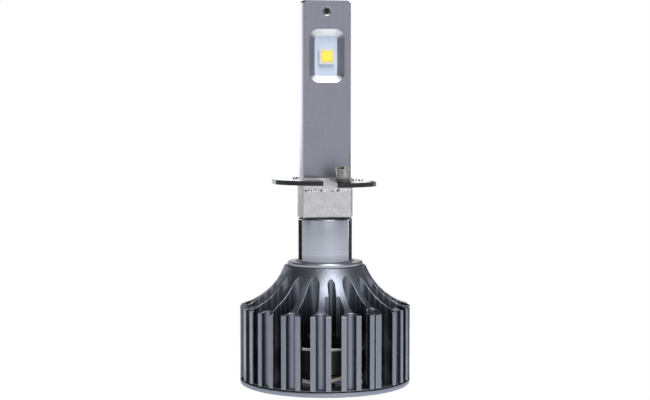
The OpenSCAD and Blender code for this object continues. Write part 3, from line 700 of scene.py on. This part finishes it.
WELD = 0.0005 * MM
FLAT_TURN = math.radians(0.5)
SPLIT_TURN = math.radians(32)
SOFT_TURN = math.radians(35)


def finish_node(obj, made, soften_mm=0.0):
    """Gives a CAD node its material, smooth shading on round faces and, if asked for, broken edges."""
    obj.data.materials.clear()
    obj.data.materials.append(made)
    if "custom_normal" in obj.data.attributes:
        obj.data.attributes.remove(obj.data.attributes["custom_normal"])
    obj.data.shade_smooth()
    weld = obj.modifiers.new("weld", "WELD")
    weld.merge_threshold = WELD
    if soften_mm:
        flat = obj.modifiers.new("flat", "DECIMATE")
        flat.decimate_type = "DISSOLVE"
        flat.angle_limit = FLAT_TURN
        edges = obj.modifiers.new("edges", "BEVEL")
        edges.width = soften_mm * MM
        edges.segments = 2
        edges.limit_method = "ANGLE"
        edges.angle_limit = SOFT_TURN
        edges.use_clamp_overlap = True
    split = obj.modifiers.new("split", "EDGE_SPLIT")
    split.split_angle = SPLIT_TURN
    if soften_mm:
        flatten = obj.modifiers.new("flatten", "WEIGHTED_NORMAL")
        flatten.weight = 80
        flatten.keep_sharp = True


# ------------------------------------------------------------------ slack leads inside the base cover

LEAD_R = 0.35 * MM
LEAD_STEPS = 150
LEAD_FROM = -160
LEAD_TO = 158
LEAD_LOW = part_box("base_cover")[1].z + LEAD_R + 0.06 * MM
LEAD_LIFT = 1.3 * MM
LEAD_SPREAD = 0.8 * MM
SLACK_AZ = -5
SLACK_HALF = 50
SLACK_GAIN = 1.6


def sweep(name, path, radius, made, sides=10):
    """A round wire along a path, with closed ends."""
    points = [Vector(point) for point in path]
    rows = []
    side = Vector((0, 0, 1))
    for i, point in enumerate(points):
        ahead = (points[min(i + 1, len(points) - 1)] - points[max(i - 1, 0)]).normalized()
        side = (side - side.dot(ahead) * ahead).normalized()
        other = ahead.cross(side)
        turns = [2 * math.pi * k / sides for k in range(sides)]
        rows.append([point + radius * (math.cos(t) * side + math.sin(t) * other) for t in turns])
    corners = [corner for row in rows for corner in row]
    faces = []
    for i in range(len(rows) - 1):
        for k in range(sides):
            a = i * sides + k
            b = i * sides + (k + 1) % sides
            faces.append((a, b, b + sides, a + sides))
    faces.append(tuple(reversed(range(sides))))
    faces.append(tuple(range(len(corners) - sides, len(corners))))
    obj = mesh_object(name, corners, faces)
    obj.data.shade_smooth()
    obj.data.materials.append(made)
    return obj


def add_slack_lead(name, away, waves, phase, made):
    """A lead from the grommet that runs round inside the cover, with slack waves at the front."""
    points = []
    for i in range(LEAD_STEPS + 1):
        azimuth = LEAD_FROM + (LEAD_TO - LEAD_FROM) * i / LEAD_STEPS
        near_front = max(0.0, 1 - abs(azimuth - SLACK_AZ) / SLACK_HALF)
        swell = near_front * near_front * (3 - 2 * near_front)
        slack = min(1, SLACK_GAIN * swell)
        wave = 0.5 + 0.5 * math.sin(math.radians(waves * azimuth) + phase)
        points.append(around(azimuth, away + LEAD_SPREAD * slack, LEAD_LOW + LEAD_LIFT * slack * wave))
    lead = sweep(name, points, LEAD_R, made)
    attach(lead, "bulb")


# ------------------------------------------------------------------ the scene

MATERIALS = make_materials()

# Nodes that don't wear the material of their slot's name
NODE_MATERIALS = {"base_cover": "cover_anodised", "front_mast_shell": "mast_anodised",
                  "rear_mast_shell": "mast_anodised", "mounting_flange": "flange_plate",
                  "fan_frame": "frame_plastic", "fan_rotor": "rotor_plastic", "collar_sleeve": "sleeve_plate",
                  "mast_screw": "mast_screw_steel", "stem": "stem_aluminium"}

# Width of the broken edges, in millimetres
SOFTENED = {"front_mast_shell": 0.2, "rear_mast_shell": 0.2, "mounting_flange": 0.08, "collar_sleeve": 0.08}

add_camera()
add_world()
add_floor()
add_card("card_left", -134, 0.12, 0.085, 0.012, 0.036)
add_card("card_right", 133, 0.12, 0.045, 0, 0.05)
add_card("card_high", 160, 0.14, 0.07, 0, 0.16)
add_floor_card("card_floor", -150, 0.085, 0.1, 0.12)
add_softbox("key", 27, 62, 0.6, (0.28, 0.5), 3.6)

for row in frame["record"]["subparts"]:
    name = NODE_MATERIALS.get(row["node"], row["material_slot"])
    finish_node(NODES[row["node"]], MATERIALS[name], SOFTENED.get(row["node"], 0))

add_slack_lead("slack_lead_ivory", 12.05 * MM, 7, 0.4, MATERIALS["lead_ivory"])
add_slack_lead("slack_lead_tan", 11.25 * MM, 5, 2.2, MATERIALS["lead_tan"])

bpy.context.scene.view_settings.view_transform = "Standard"
